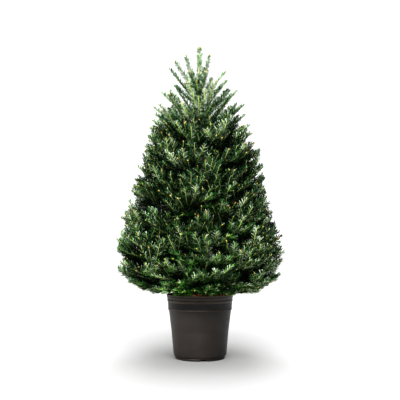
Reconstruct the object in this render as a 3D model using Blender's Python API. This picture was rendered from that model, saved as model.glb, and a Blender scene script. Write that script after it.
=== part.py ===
"""Potted Fraser fir, 1.32 m from the underside of its pot to the tip of its leader.

A turned nursery pot with drain slots holds a plug of bark compost. A tapered trunk stands on the compost,
whorls of boughs rise from it, and each bough carries one mass of needle sprays. Metres, +Z up, with the origin
at the middle of the pot's flat underside. The front of the tree faces -Y.
"""

import math
import random

import bmesh
import bpy
from mathutils import Matrix, Vector

SEED = 11
GAP = 0.0003

# Nursery pot, from its foot to its lip
POT_HEIGHT = 0.266
POT_SIDES = 32
WALL = 0.0025
FLOOR = 0.004
FOOT_RADIUS = 0.103
FOOT_HEIGHT = 0.010
BODY_FOOT_RADIUS = 0.108
BODY_TOP_RADIUS = 0.128
BODY_TOP = 0.1995
COLLAR_FOOT_RADIUS = 0.1325
COLLAR_TOP_RADIUS = 0.137
LIP_RADIUS = 0.140
LIP_HEIGHT = 0.013
EDGE = 0.0015
SLOTS = 4
SLOT_HALF_WIDTH = 0.017
SLOT_HEIGHT = 0.0085
SLOT_DEPTH = 0.016
SLOT_SIDES = 12
FIRST_SLOT_DEG = -82.5

# Compost in the pot
SOIL_EDGE = POT_HEIGHT - 0.010
SOIL_CROWN = POT_HEIGHT + 0.001
SOIL_FLAT_RADIUS = 0.036
SOIL_RINGS = 3
SOIL_BUMP = 0.0022
SOIL_RISE = 0.4 * SOIL_BUMP

# Trunk
TRUNK_FOOT = SOIL_CROWN + GAP
TRUNK_TIP = 1.145
TRUNK_SIDES = 10
TRUNK_RINGS = 12
RING_CROWDING = 1.7
TRUNK_BASE_RADIUS = 0.0160
TRUNK_TIP_RADIUS = 0.0042
FLARE_WIDTH = 0.010
FLARE_FALL = 0.022
FLARE_LOBES = 5
LOBE_SHARE = 0.3
TRUNK_SWAY = 0.004

# Crown: a power curve from the tip down to the widest level, then a quarter ellipse to the lowest needles
CROWN_TOP = 1.321
CROWN_FOOT = 0.245
CROWN_RADIUS = 0.350
WIDEST = 0.445
CROWN_POWER = 0.56
UNDER_POWER = 3.0
LUMP = 0.035

# Whorls: slanting cones split the crown into tiers, and upright planes split each tier into equal sectors.
# Each cone over a tier is given by its height at the trunk's line and its slope in degrees.
SECTORS = (6, 6, 6, 5, 4, 3)
ROOFS = ((0.330, 15.0), (0.392, 25.0), (0.476, 36.0), (0.586, 46.0), (0.729, 55.0), (1.095, 42.0))
TURN_DEG = 137.5
SPACE_GAP = 0.0015
OVER_POT = 0.008

# Boughs
BOUGH_TIERS = 4
BOUGH_SIDES = 5
BOUGH_RADIUS = 0.0068
BOUGH_END_RADIUS = 0.0042
BOUGH_REACH = 0.31
BOUGH_SAG = 0.010
BOUGH_STEPS = 2
BEHIND_BOUGH = 0.006
BEHIND_TRUNK = 0.004

# Masses: a rounded core on a stem, with forked needle sprays out of it
CORE_DEPTH = 0.085
CORE_DEPTH_STEP = -0.006
CORE_SPREAD = 0.95
CORE_BOX = 0.85
CORE_LUMP = 0.09
CORE_INSET = 0.012
THINNEST_CORE = 0.020
SPUR = 0.040
SPUR_SHARE = 0.7
STEM_RADIUS = 0.0042
STEM_END_RADIUS = 0.8 * STEM_RADIUS
STEM_STRAIGHT = 0.012
STEM_END = 0.06
SPRAYS_PER_TIER = (4, 5, 5, 5, 4, 5)
SPRAY_LENGTH = 0.120
SPRAY_RANGE = (0.85, 1.1)
SPRAY_ROWS = (-0.12, 0.62)
ROW_SPREAD = 0.12
ROW_WIDTH = 0.9
SPRAY_TURN_DEG = 8.0
SPRAY_ROLL_DEG = 18.0
SIDE_SPRAY = 0.80
SHORTEST_LOBE = 0.030
HALF_WIDTH = 0.0175
RIDGE = 0.0040
TOOTH_LENGTH = 0.035
NOTCH = 0.40
TOOTH_STEPS = ((0.2, NOTCH), (0.8, 1.0))
SWELL_FROM = 0.20
SWELL_SPAN = 0.66
SWELL_POWER = 0.7
TRIM = 0.93
SLIM_BELOW = 0.6
CROTCH = 0.022
SUNK = 0.030
STALK = 0.013
CUP = 0.22
FORK_DEG = 42.0
FORK_SPREAD_DEG = 5.0
FIRST_RISE_DEG = 4.0
LAST_RISE_DEG = 66.0
RISE_SPREAD_DEG = 9.0

# Leader and the whorl of shoots round its foot
LEADER_RADIUS = 0.0036
LEADER_SHOOTS = 5
LEADER_SHOOT_LENGTH = 0.165
LEADER_SHOOT_RISE_DEG = 59.0
LEADER_SHOOT_SPREAD_DEG = 11.0
LEADER_BARE = 0.045
LEADER_BLADE = 0.7
LEADER_SHOOT_BLADE = 0.9


def material(name, colour, roughness):
    """A Principled material of one colour."""
    made = bpy.data.materials.new(name)
    made.use_nodes = True
    shader = made.node_tree.nodes["Principled BSDF"]
    shader.inputs["Base Color"].default_value = (*colour, 1.0)
    shader.inputs["Roughness"].default_value = roughness
    shader.inputs["Metallic"].default_value = 0.0
    return made


def add_object(name, shape, finish=None, collection=None):
    """Puts a bmesh into a new object and frees the bmesh."""
    mesh = bpy.data.meshes.new(name)
    shape.to_mesh(mesh)
    shape.free()
    made = bpy.data.objects.new(name, mesh)
    (collection or bpy.context.scene.collection).objects.link(made)
    if finish:
        mesh.materials.append(finish)
    return made


def shade_round(thing, angle_deg=40.0):
    """Smooth shading that keeps edges sharper than the angle."""
    thing.data.shade_smooth()
    thing.data.set_sharp_from_angle(angle=math.radians(angle_deg))


def polar(radius, angle, z):
    return Vector((radius * math.cos(angle), radius * math.sin(angle), z))


def turned(profile):
    """Spins an (r, z) profile about Z and closes it at the axis."""
    shape = bmesh.new()
    points = [shape.verts.new((r, 0.0, z)) for r, z in profile]
    edges = [shape.edges.new(pair) for pair in zip(points, points[1:])]
    bmesh.ops.spin(
        shape,
        geom=points + edges,
        angle=math.tau,
        steps=POT_SIDES,
        axis=(0, 0, 1),
        cent=(0, 0, 0),
    )
    bmesh.ops.remove_doubles(shape, verts=shape.verts, dist=1e-5)
    bmesh.ops.recalc_face_normals(shape, faces=shape.faces)
    return shape


def tube(path, radii, sides):
    """A closed tube through the path's points, with a flat end at each end."""
    shape = bmesh.new()
    rings = []
    heading = (path[1] - path[0]).normalized()
    across = heading.orthogonal().normalized()
    for i, (centre, radius) in enumerate(zip(path, radii)):
        ahead = path[min(i + 1, len(path) - 1)] - path[max(i - 1, 0)]
        across = heading.rotation_difference(ahead) @ across
        heading = ahead.normalized()
        across = (across - across.dot(heading) * heading).normalized()
        up = heading.cross(across)
        ring = [
            shape.verts.new(centre + radius * (math.cos(a) * across + math.sin(a) * up))
            for a in (math.tau * k / sides for k in range(sides))
        ]
        rings.append(ring)
    for low, high in zip(rings, rings[1:]):
        for k in range(sides):
            n = (k + 1) % sides
            shape.faces.new((low[k], low[n], high[n], high[k]))
    shape.faces.new(rings[0][::-1])
    shape.faces.new(rings[-1])
    bmesh.ops.recalc_face_normals(shape, faces=shape.faces)
    return shape


def cut(thing, cutters):
    """Subtracts the cutters' shapes for good and removes them."""
    for cutter in cutters:
        boolean = thing.modifiers.new("cut", "BOOLEAN")
        boolean.operation = "DIFFERENCE"
        boolean.object = cutter
        apply_modifiers(thing)
        bpy.data.objects.remove(cutter)


def apply_modifiers(thing):
    """Replaces the object's mesh with its evaluated one."""
    graph = bpy.context.evaluated_depsgraph_get()
    mesh = bpy.data.meshes.new_from_object(thing.evaluated_get(graph))
    thing.modifiers.clear()
    thing.data = mesh


def crown_radius(z):
    """How far the outermost tips stand from the trunk's line at height z."""
    if z >= CROWN_TOP or z <= CROWN_FOOT:
        return 0.0
    if z >= WIDEST:
        return CROWN_RADIUS * ((CROWN_TOP - z) / (CROWN_TOP - WIDEST)) ** CROWN_POWER
    below = (WIDEST - z) / (WIDEST - CROWN_FOOT)
    return CROWN_RADIUS * math.sqrt(1.0 - below**UNDER_POWER)


def crown_underside(r):
    """The height of the crown's underside at radius r."""
    inside = max(0.0, 1.0 - (r / CROWN_RADIUS) ** 2)
    return WIDEST - (WIDEST - CROWN_FOOT) * inside ** (1.0 / UNDER_POWER)


def reach(z, angle):
    """The crown's radius with its gentle lumps."""
    lumps = math.sin(3 * angle + 9 * z) + math.sin(5 * angle - 14 * z + 1.7)
    return crown_radius(z) * (1.0 + LUMP * 0.5 * lumps)


def trunk_centre(z):
    """The trunk's line sways by a few millimetres and is straight up at its foot."""
    up = (z - TRUNK_FOOT) / (TRUNK_TIP - TRUNK_FOOT)
    return Vector((-TRUNK_SWAY * math.sin(2.6 * up) * up, TRUNK_SWAY * math.sin(4.1 * up) * up, z))


def trunk_radius(z, angle=0.0):
    """An even taper with a lobed flare at the foot."""
    up = (z - TRUNK_FOOT) / (TRUNK_TIP - TRUNK_FOOT)
    taper = TRUNK_BASE_RADIUS + (TRUNK_TIP_RADIUS - TRUNK_BASE_RADIUS) * up
    flare = FLARE_WIDTH * math.exp(-(z - TRUNK_FOOT) / FLARE_FALL)
    return taper + flare * (1.0 + LOBE_SHARE * math.cos(FLARE_LOBES * angle))


def trunk_shape(extra=0.0):
    """The trunk's loft, with every radius made larger by extra."""
    shape = bmesh.new()
    rings = []
    for i in range(TRUNK_RINGS):
        share = (i / (TRUNK_RINGS - 1)) ** RING_CROWDING
        z = TRUNK_FOOT + (TRUNK_TIP - TRUNK_FOOT) * share
        centre = trunk_centre(z)
        angles = [math.tau * k / TRUNK_SIDES for k in range(TRUNK_SIDES)]
        rings.append(
            [shape.verts.new(centre + polar(trunk_radius(z, a) + extra, a, 0.0)) for a in angles]
        )
    for low, high in zip(rings, rings[1:]):
        for k in range(TRUNK_SIDES):
            n = (k + 1) % TRUNK_SIDES
            shape.faces.new((low[k], low[n], high[n], high[k]))
    shape.faces.new(rings[0][::-1])
    shape.faces.new(rings[-1])
    return shape


def fat_trunk():
    """A cutter that keeps the clearance round the trunk."""
    return add_object("trunk_clearance", trunk_shape(2.0 * GAP))


def make_pot(finish):
    """The turned pot: foot, tapered body, collar with a rolled lip, and arched drain slots through the foot."""
    outer = [
        (0.0, 0.0),
        (FOOT_RADIUS - EDGE, 0.0),
        (FOOT_RADIUS, EDGE),
        (FOOT_RADIUS, FOOT_HEIGHT),
        (BODY_FOOT_RADIUS, 2 * FOOT_HEIGHT),
        (BODY_TOP_RADIUS, BODY_TOP),
        (COLLAR_FOOT_RADIUS, BODY_TOP + 2 * EDGE),
        (COLLAR_TOP_RADIUS, POT_HEIGHT - LIP_HEIGHT - EDGE),
        (LIP_RADIUS, POT_HEIGHT - LIP_HEIGHT),
        (LIP_RADIUS, POT_HEIGHT - EDGE),
        (LIP_RADIUS - EDGE, POT_HEIGHT),
    ]
    pot = add_object("pot", turned(outer + pot_inside()), finish)
    cutters = []
    for i in range(SLOTS):
        angle = math.radians(FIRST_SLOT_DEG) + math.tau * i / SLOTS
        shape = bmesh.new()
        bmesh.ops.create_cone(
            shape,
            cap_ends=True,
            segments=SLOT_SIDES,
            radius1=SLOT_HALF_WIDTH,
            radius2=SLOT_HALF_WIDTH,
            depth=2 * SLOT_DEPTH,
        )
        flatten = Matrix.Scale(SLOT_HEIGHT / SLOT_HALF_WIDTH, 4, (0, 0, 1))
        lay = Matrix.Rotation(math.pi / 2, 4, "Y")
        place = Matrix.Translation(polar(FOOT_RADIUS, angle, 0.0)) @ Matrix.Rotation(angle, 4, "Z")
        bmesh.ops.transform(shape, matrix=place @ flatten @ lay, verts=shape.verts)
        cutters.append(add_object("drain_slot", shape))
    cut(pot, cutters)
    shade_round(pot)


def pot_inside(gap=0.0):
    """The pot's inner profile from the lip to the axis, set in from the wall by gap."""
    wall = WALL + gap
    floor = FLOOR + gap
    return [
        (LIP_RADIUS - 2 * EDGE - gap, POT_HEIGHT),
        (COLLAR_TOP_RADIUS - wall, POT_HEIGHT - LIP_HEIGHT - EDGE),
        (COLLAR_FOOT_RADIUS - wall, BODY_TOP + 3 * EDGE + WALL),
        (BODY_TOP_RADIUS - wall, BODY_TOP),
        (BODY_FOOT_RADIUS - wall, 2 * FOOT_HEIGHT),
        (FOOT_RADIUS - wall, FOOT_HEIGHT),
        (FOOT_RADIUS - wall, floor),
        (0.0, floor),
    ]


def make_soil(finish):
    """The compost: it fills the pot below the lip, and its top is a low uneven mound with a flat at the trunk."""
    rng = random.Random(SEED)
    inside = pot_inside(2.0 * GAP)[1:]
    wall_radius = inside[0][0]
    mound = []
    for i in range(SOIL_RINGS + 1):
        share = i / SOIL_RINGS
        radius = SOIL_FLAT_RADIUS + (wall_radius - SOIL_FLAT_RADIUS) * share
        fall = (1.0 - math.cos(math.pi * share)) / 2.0
        mound.append((radius, SOIL_CROWN + (SOIL_EDGE - SOIL_CROWN) * fall))
    mound[-1] = (wall_radius, SOIL_EDGE)
    shape = turned([(0.0, SOIL_CROWN)] + mound + inside[1:])
    for vertex in shape.verts:
        radius = vertex.co.xy.length
        if vertex.co.z > SOIL_EDGE + EDGE and radius > SOIL_FLAT_RADIUS + EDGE:
            vertex.co.z += rng.uniform(-SOIL_BUMP, SOIL_RISE)
    shade_round(add_object("soil", shape, finish), 60.0)


def make_trunk(finish):
    """The trunk from its flat cut on the compost to the foot of the leader."""
    shade_round(add_object("trunk", trunk_shape(), finish), 60.0)


class Space:
    """The part of the crown that one mass keeps to: one sector of one tier."""

    def __init__(self, tier, sector):
        self.tier = tier
        self.half_angle = math.pi / SECTORS[tier]
        self.angle = 2 * self.half_angle * sector + math.radians(TURN_DEG * tier - 90.0)
        self.inner = 0.0

    def cone(self, tier, r):
        """The height at radius r of the slanting cone over a tier."""
        height, slope = ROOFS[tier]
        return height + r * math.tan(math.radians(slope))

    def floor(self, r):
        if self.tier > 0:
            return self.cone(self.tier - 1, r) + SPACE_GAP
        over_pot = POT_HEIGHT + OVER_POT if r < LIP_RADIUS + OVER_POT else 0.0
        return max(over_pot, crown_underside(r))

    def roof(self, r):
        return self.cone(self.tier, r) - SPACE_GAP

    def outer(self, share, angle):
        """The crown's radius along the slanting line that runs a share of the way from floor to roof."""
        r = CROWN_RADIUS
        for _ in range(12):
            z = self.floor(r) + (self.roof(r) - self.floor(r)) * share
            r = 0.5 * (r + reach(z, angle))
        return r

    def holds(self, point):
        r = point.xy.length
        angle = math.atan2(point.y, point.x)
        turn = (angle - self.angle + math.pi) % math.tau - math.pi
        beside = r * math.sin(self.half_angle - abs(turn)) if abs(turn) < self.half_angle else -1.0
        return (
            beside > SPACE_GAP
            and r > self.inner
            and r < reach(point.z, angle)
            and self.floor(r) < point.z < self.roof(r)
        )


def rise_of(tier):
    """How steeply the shoots of a tier stand, from nearly level at the foot of the crown to steep at its top."""
    share = tier / (len(SECTORS) - 1)
    return math.radians(FIRST_RISE_DEG + (LAST_RISE_DEG - FIRST_RISE_DEG) * share**0.75)


def bough_path(space):
    """The bough's centre line, from inside the trunk along the middle of its space, with a slight sag."""
    reach_out = BOUGH_REACH * space.outer(0.5, space.angle)
    points = []
    for i in range(BOUGH_STEPS + 1):
        share = i / BOUGH_STEPS
        r = reach_out * share
        z = 0.5 * (space.floor(r) + space.roof(r)) - BOUGH_SAG * math.sin(math.pi * share)
        centre = trunk_centre(max(z, TRUNK_FOOT))
        sideways = Vector((centre.x, centre.y, 0.0)) * (1.0 - share)
        points.append(polar(r, space.angle, z) + sideways)
    return points


def make_bough(space, name, finish):
    """One tapering limb with its foot fitted to the trunk."""
    path = bough_path(space)
    last = len(path) - 1
    radii = [BOUGH_RADIUS + (BOUGH_END_RADIUS - BOUGH_RADIUS) * i / last for i in range(last + 1)]
    bough = add_object(name, tube(path, radii, BOUGH_SIDES), finish)
    cut(bough, [fat_trunk()])
    shade_round(bough, 60.0)
    return path


def toothed_side(base, way, across, length, half_width, first):
    """One side of a spray: notches and forward-pointing teeth, from tooth number first to the tip."""
    points = []
    teeth = max(2, round(length / TOOTH_LENGTH))
    for i in range(first, teeth):
        for step, width in TOOTH_STEPS:
            share = (i + step) / teeth
            swell = math.sin(math.pi * (SWELL_FROM + SWELL_SPAN * share)) ** SWELL_POWER
            points.append(base + way * (length * share) + across * (half_width * swell * width))
    return points


def forked_blade(root, fork, normal, lobes):
    """A flat ridged blade on a stalk that forks into toothed lobes, given from right to left."""
    shape = bmesh.new()
    start = shape.verts.new(root)
    strips = []
    before = start
    for i, (way, across, length, half_width) in enumerate(lobes):
        right = toothed_side(fork, way, across, length, half_width, int(i > 0))
        left = toothed_side(fork, way, -across, length, half_width, int(i < len(lobes) - 1))
        tip = shape.verts.new(fork + way * length)
        after = start
        if i < len(lobes) - 1:
            after = shape.verts.new(fork + (way + lobes[i + 1][0]).normalized() * CROTCH)
        up = [before] + [shape.verts.new(p) for p in right] + [tip]
        down = [tip] + [shape.verts.new(p) for p in reversed(left)] + [after]
        strips.append((fork + way * (0.5 * length), up, down))
        before = after
    for lift in (normal * RIDGE, normal * -RIDGE):
        saddle = shape.verts.new(fork + lift)
        for middle, up, down in strips:
            ridge = shape.verts.new(middle + lift)
            stitch(shape, [saddle, ridge], up)
            stitch(shape, [ridge, saddle], down)
    bmesh.ops.recalc_face_normals(shape, faces=shape.faces)
    return shape


def stitch(shape, ridge, edge):
    """Triangles between two lines of vertices, always across the shorter diagonal."""
    i = j = 0
    while i < len(ridge) - 1 or j < len(edge) - 1:
        on_ridge = j == len(edge) - 1
        if i < len(ridge) - 1 and not on_ridge:
            next_ridge = (ridge[i + 1].co - edge[j].co).length
            on_ridge = next_ridge < (ridge[i].co - edge[j + 1].co).length
        if on_ridge:
            shape.faces.new((ridge[i], ridge[i + 1], edge[j]))
            i += 1
        else:
            shape.faces.new((ridge[i], edge[j + 1], edge[j]))
            j += 1


def lobe_length(space, fork, way, across, wanted):
    """The longest lobe up to the wanted length whose whole outline stays in the space, or 0."""
    length = wanted
    while length >= SHORTEST_LOBE:
        points = [fork + way * length]
        for side in (across, -across):
            points += toothed_side(fork, way, side, length, HALF_WIDTH, 0)
        if all(space.holds(p) for p in points):
            return length
        length *= TRIM
    return 0.0


def core_point(space, direction, size):
    """Maps a direction on the unit ball to the mass's core, which is a rounded box that bends with its space."""
    boxed = direction / max(abs(c) for c in direction)
    x, y, z = (direction + (boxed - direction) * CORE_BOX) * size
    share = 0.5 + 0.5 * CORE_SPREAD * z
    angle = space.angle + space.half_angle * CORE_SPREAD * y
    far = space.outer(share, angle) - CORE_DEPTH - CORE_DEPTH_STEP * space.tier
    near = space.inner + CORE_INSET
    r = near + max(far - near, THINNEST_CORE) * (0.5 + 0.5 * x)
    return polar(r, angle, space.floor(r) + (space.roof(r) - space.floor(r)) * share)


def core_shape(space, rng):
    """A dense inner body. Its outer face has blunt spurs that lean the way the shoots do."""
    shape = bmesh.new()
    bmesh.ops.create_icosphere(shape, subdivisions=2, radius=1.0)
    for vertex in shape.verts:
        direction = vertex.co.normalized()
        vertex.co = core_point(space, direction, 1.0 - CORE_LUMP * rng.random())
        if len(vertex.link_edges) == 5 and direction.x > 0.0:
            spur = shoot_way(space, vertex.co, 0.0) * rng.uniform(SPUR_SHARE, 1.0)
            lengths = [SPUR * (1.0 - 0.1 * i) for i in range(9)]
            fits = [vertex.co + spur * length for length in lengths]
            vertex.co = next((p for p in fits if space.holds(p)), vertex.co)
    return shape


def shoot_way(space, point, spread_deg):
    """The direction of a shoot at a point: outward, and as steep as its tier's shoots stand."""
    rise = rise_of(space.tier) + math.radians(spread_deg)
    return polar(math.cos(rise), math.atan2(point.y, point.x), math.sin(rise))


def join(name, shapes, finish):
    """One solid from overlapping closed shapes."""
    parts = bpy.data.collections.new(name + "_parts")
    bpy.context.scene.collection.children.link(parts)
    whole = add_object(name, shapes[0], finish)
    for shape in shapes[1:]:
        add_object(name + "_piece", shape, None, parts)
    union = whole.modifiers.new("join", "BOOLEAN")
    union.operation = "UNION"
    union.operand_type = "COLLECTION"
    union.collection = parts
    union.solver = "MANIFOLD"
    apply_modifiers(whole)
    for piece in list(parts.objects):
        bpy.data.objects.remove(piece)
    bpy.data.collections.remove(parts)
    drop_scraps(whole)
    return whole


def drop_scraps(thing):
    """Keeps only the largest connected piece of the object's mesh."""
    shape = bmesh.new()
    shape.from_mesh(thing.data)
    left = set(shape.verts)
    pieces = []
    while left:
        piece = set()
        edge = [left.pop()]
        while edge:
            vertex = edge.pop()
            piece.add(vertex)
            fresh = {e.other_vert(vertex) for e in vertex.link_edges} & left
            left -= fresh
            edge += fresh
        pieces.append(piece)
    pieces.sort(key=len)
    for piece in pieces[:-1]:
        bmesh.ops.delete(shape, geom=list(piece), context="VERTS")
    shape.to_mesh(thing.data)
    shape.free()


def spray(space, rng, surface, heading, side):
    """A forked spray on the mass's surface: one lobe straight on and one to each side, where they fit."""
    fork = surface + heading * STALK
    normal = heading.cross(side).normalized()
    lobes = []
    for turn in (1, 0, -1):
        angle = math.radians(FORK_DEG + rng.uniform(-FORK_SPREAD_DEG, FORK_SPREAD_DEG)) * turn
        way = heading * math.cos(angle) + side * math.sin(angle) + normal * (CUP * abs(turn))
        way.normalize()
        across = way.cross(normal).normalized()
        across = across if across.dot(side) > 0 else -across
        wanted = SPRAY_LENGTH * (SIDE_SPRAY if turn else 1.0) * rng.uniform(*SPRAY_RANGE)
        length = lobe_length(space, fork, way, across, wanted)
        if length:
            lobes.append((way, across, length, HALF_WIDTH * min(1.0, length / (SLIM_BELOW * wanted))))
    return [forked_blade(surface - heading * SUNK, fork, normal, lobes)] if lobes else []


def mass_shapes(space, start, way, rng):
    """The stem, the core and the sprays."""
    stem = [start, start + way * STEM_STRAIGHT, core_point(space, Vector((1.0, 0.0, 0.0)), STEM_END)]
    shapes = [core_shape(space, rng), tube(stem, [STEM_RADIUS, STEM_RADIUS, STEM_END_RADIUS], BOUGH_SIDES)]
    count = SPRAYS_PER_TIER[space.tier]
    for i in range(count):
        side_share = (2 * i + 1) / count - 1.0
        height = SPRAY_ROWS[i % 2] + rng.uniform(-ROW_SPREAD, ROW_SPREAD)
        target = Vector((1.0, ROW_WIDTH * side_share, height)).normalized()
        surface = core_point(space, target, 1.0)
        spread = RISE_SPREAD_DEG if i % 2 else -RISE_SPREAD_DEG
        heading = shoot_way(space, surface, spread + rng.uniform(-FORK_SPREAD_DEG, FORK_SPREAD_DEG))
        heading = Matrix.Rotation(math.radians(rng.uniform(-SPRAY_TURN_DEG, SPRAY_TURN_DEG)), 3, "Z") @ heading
        side = heading.cross(Vector((0, 0, 1))).normalized()
        side = Matrix.Rotation(math.radians(rng.uniform(-SPRAY_ROLL_DEG, SPRAY_ROLL_DEG)), 3, heading) @ side
        shapes += spray(space, rng, surface, heading, side)
    return shapes


def make_mass(space, name, start, way, on_trunk, rng, finish):
    """One mass of foliage, joined into one solid and kept clear of the trunk."""
    whole = join(name, mass_shapes(space, start, way, rng), finish)
    if on_trunk:
        cut(whole, [fat_trunk()])
    return whole


def make_leader(finish):
    """The leader above the trunk's tip, with needles on all sides and a whorl of steep shoots round its foot."""
    rng = random.Random(SEED + 1000)
    foot = trunk_centre(TRUNK_TIP) + Vector((0.0, 0.0, GAP))
    top = Vector((foot.x, foot.y, CROWN_TOP))
    up = Vector((0.0, 0.0, 1.0))
    shapes = [tube([foot, top - 0.02 * up], [LEADER_RADIUS, LEADER_RADIUS * 0.4], 6)]
    for i in range(2):
        side = polar(1.0, math.pi * (0.15 + 0.5 * i), 0.0)
        shapes.append(single_blade(foot + LEADER_BARE * up, top - 0.004 * i * up, side, LEADER_BLADE))
    for i in range(LEADER_SHOOTS):
        turn = math.tau * (i + 0.2) / LEADER_SHOOTS
        spread = LEADER_SHOOT_SPREAD_DEG * (1.0 if i % 2 else -1.0)
        rise = math.radians(LEADER_SHOOT_RISE_DEG + spread + rng.uniform(-3.0, 3.0))
        heading = polar(math.cos(rise), turn, math.sin(rise))
        side = polar(1.0, turn + math.pi / 2, 0.0)
        root = foot + up * rng.uniform(0.006, 0.022)
        length = LEADER_SHOOT_LENGTH * rng.uniform(0.82, 1.0)
        shapes.append(single_blade(root, root + length * heading, side, LEADER_SHOOT_BLADE))
    return join("foliage_leader", shapes, finish)


def single_blade(root, tip, side, width):
    """A spray with a single lobe on a short stalk."""
    way = (tip - root).normalized()
    fork = root + way * SUNK
    lobe = (way, side, (tip - fork).length, HALF_WIDTH * width)
    return forked_blade(root, fork, way.cross(side).normalized(), [lobe])


def main():
    for thing in list(bpy.data.objects):
        bpy.data.objects.remove(thing)
    plastic = material("pot_plastic", (0.045, 0.040, 0.036), 0.45)
    compost = material("compost", (0.060, 0.032, 0.020), 0.95)
    bark = material("bark", (0.115, 0.085, 0.060), 0.85)
    needles = material("needles", (0.030, 0.075, 0.030), 0.50)
    make_pot(plastic)
    make_soil(compost)
    make_trunk(bark)
    for tier, sectors in enumerate(SECTORS):
        for sector in range(sectors):
            space = Space(tier, sector)
            label = f"{tier + 1}_{sector + 1}"
            rng = random.Random(SEED + 10 * tier + sector)
            if tier < BOUGH_TIERS:
                path = make_bough(space, "bough_" + label, bark)
                way = (path[-1] - path[-2]).normalized()
                start = path[-1] + way * GAP
                space.inner = path[-1].xy.length + BEHIND_BOUGH
            else:
                z = 0.5 * (space.floor(0.0) + space.roof(0.0))
                start = trunk_centre(z)
                way = polar(1.0, space.angle, 0.0)
                space.inner = trunk_radius(z) + BEHIND_TRUNK
            make_mass(space, "foliage_" + label, start, way, tier >= BOUGH_TIERS, rng, needles)
    make_leader(needles)


main()
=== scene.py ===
"""Looks of a potted Fraser fir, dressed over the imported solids.

Limbs grow on from the trunk and the boughs into the space of each foliage mass, fork twice into shoots, and carry
strap-shaped needles and buds. The pot, its compost and the bark are worked out as grids of points.
"""

import math

import bpy
import numpy as np
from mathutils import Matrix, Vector


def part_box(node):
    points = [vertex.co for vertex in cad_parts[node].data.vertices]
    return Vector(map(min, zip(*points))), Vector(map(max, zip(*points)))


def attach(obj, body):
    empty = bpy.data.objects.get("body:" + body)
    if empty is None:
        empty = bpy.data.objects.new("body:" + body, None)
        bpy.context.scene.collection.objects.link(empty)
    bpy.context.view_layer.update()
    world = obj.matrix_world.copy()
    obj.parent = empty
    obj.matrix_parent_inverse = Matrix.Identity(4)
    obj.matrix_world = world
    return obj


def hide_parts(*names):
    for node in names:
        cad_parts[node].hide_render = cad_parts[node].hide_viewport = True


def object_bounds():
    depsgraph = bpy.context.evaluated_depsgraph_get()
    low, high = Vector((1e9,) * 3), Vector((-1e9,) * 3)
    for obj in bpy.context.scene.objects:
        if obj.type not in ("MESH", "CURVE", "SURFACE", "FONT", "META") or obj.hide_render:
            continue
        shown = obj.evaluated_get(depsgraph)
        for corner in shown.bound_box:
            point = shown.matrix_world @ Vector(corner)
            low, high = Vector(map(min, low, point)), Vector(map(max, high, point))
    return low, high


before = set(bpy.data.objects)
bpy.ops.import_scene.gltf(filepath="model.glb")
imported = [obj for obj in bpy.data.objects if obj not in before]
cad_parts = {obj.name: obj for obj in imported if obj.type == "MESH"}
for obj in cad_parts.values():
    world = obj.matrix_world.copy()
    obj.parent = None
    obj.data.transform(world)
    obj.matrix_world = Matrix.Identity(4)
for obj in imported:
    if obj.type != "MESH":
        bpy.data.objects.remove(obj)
CAD_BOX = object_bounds()

SEED = 41
FULL_TURN = 2.0 * math.pi
GOLDEN_ANGLE = math.radians(137.508)

# The photograph's camera, which looks slightly up from the height of the lowest boughs
CAMERA_DISTANCE = 2.97
CAMERA_HEIGHT = 0.48
AIM_HEIGHT = 0.6625
LENS_MM = 63.0

# Lights from above, which draw a wide soft shadow on the floor: tilt to the front, tilt to the side and strength
OVERHEADS = (
    (-40.0, 0.0, 1.00),
    (-20.0, 0.0, 0.62),
    (-4.0, 0.0, 0.56),
    (24.0, 0.0, 0.74),
    (52.0, 7.0, 1.07),
    (52.0, -7.0, 1.07),
)
OVERHEAD_WIDTH_DEG = 42.0

# Pot, read from its solid, with the finer mouldings that the solid leaves out
POT_LOW, POT_HIGH = (np.array(corner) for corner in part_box("pot"))
LIP_RADIUS = POT_HIGH[0]
POT_HEIGHT = POT_HIGH[2]
WALL = 0.0025
FOOT_RADIUS = 0.104
FOOT_HEIGHT = 0.010
BODY_FOOT_RADIUS = 0.1100
BODY_TOP_RADIUS = 0.128
BODY_TOP = 0.2020
COLLAR_FOOT_RADIUS = 0.1335
COLLAR_TOP_RADIUS = 0.137
LIP_HEIGHT = 0.011
RIDGE_OUT = 0.0016
RIDGE_BELOW_RIM = 0.0240
# The band from a little below the ridge to a little above it is painted paler: a painted highlight
RIDGE_HALF_HEIGHT = 0.0075
PAINTED_HIGHLIGHT_ABOVE_RIDGE = 0.0125
BEAD_OUT = 0.0007
BEAD_HEIGHT = 0.0058
# A strip on the body under the bead, set slightly in and painted darker: a painted shadow under the collar's foot
SHADED_STRIP = 0.0042
SLOTS = 4
SLOT_HALF_WIDTH = 0.017
SLOT_HEIGHT = 0.0085
SLOT_DEPTH = 0.016
FIRST_SLOT = math.radians(-82.5)
POT_STEPS = 144

# Compost
SOIL_EDGE = POT_HEIGHT - 0.007
SOIL_CROWN = POT_HEIGHT + 0.001
SOIL_FLAT_RADIUS = 0.036
CHIPS = 620

# Trunk
TRUNK_FOOT, TRUNK_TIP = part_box("trunk")[0][2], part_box("trunk")[1][2]
TRUNK_BASE_RADIUS = 0.0160
TRUNK_TIP_RADIUS = 0.0042
FLARE_WIDTH = 0.010
FLARE_FALL = 0.022
FLARE_LOBES = 5
TRUNK_SWAY = 0.004

# Crown, by the same rule as the solids
CROWN_TOP = CAD_BOX[1][2]
CROWN_FOOT = 0.245
CROWN_RADIUS = 0.350
WIDEST = 0.445
CROWN_POWER = 0.56
UNDER_POWER = 3.0
LUMP = 0.035
SECTORS = (6, 6, 6, 5, 4, 3)
ROOFS = ((0.330, 15.0), (0.392, 25.0), (0.476, 36.0), (0.586, 46.0), (0.729, 55.0), (1.095, 42.0))
TURN_DEG = 137.5
OVER_POT = 0.008
BOUGH_TIERS = 4
BOUGH_RADIUS = 0.0068
BOUGH_END_RADIUS = 0.0042
BOUGH_REACH = 0.31
BOUGH_SAG = 0.010

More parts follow.
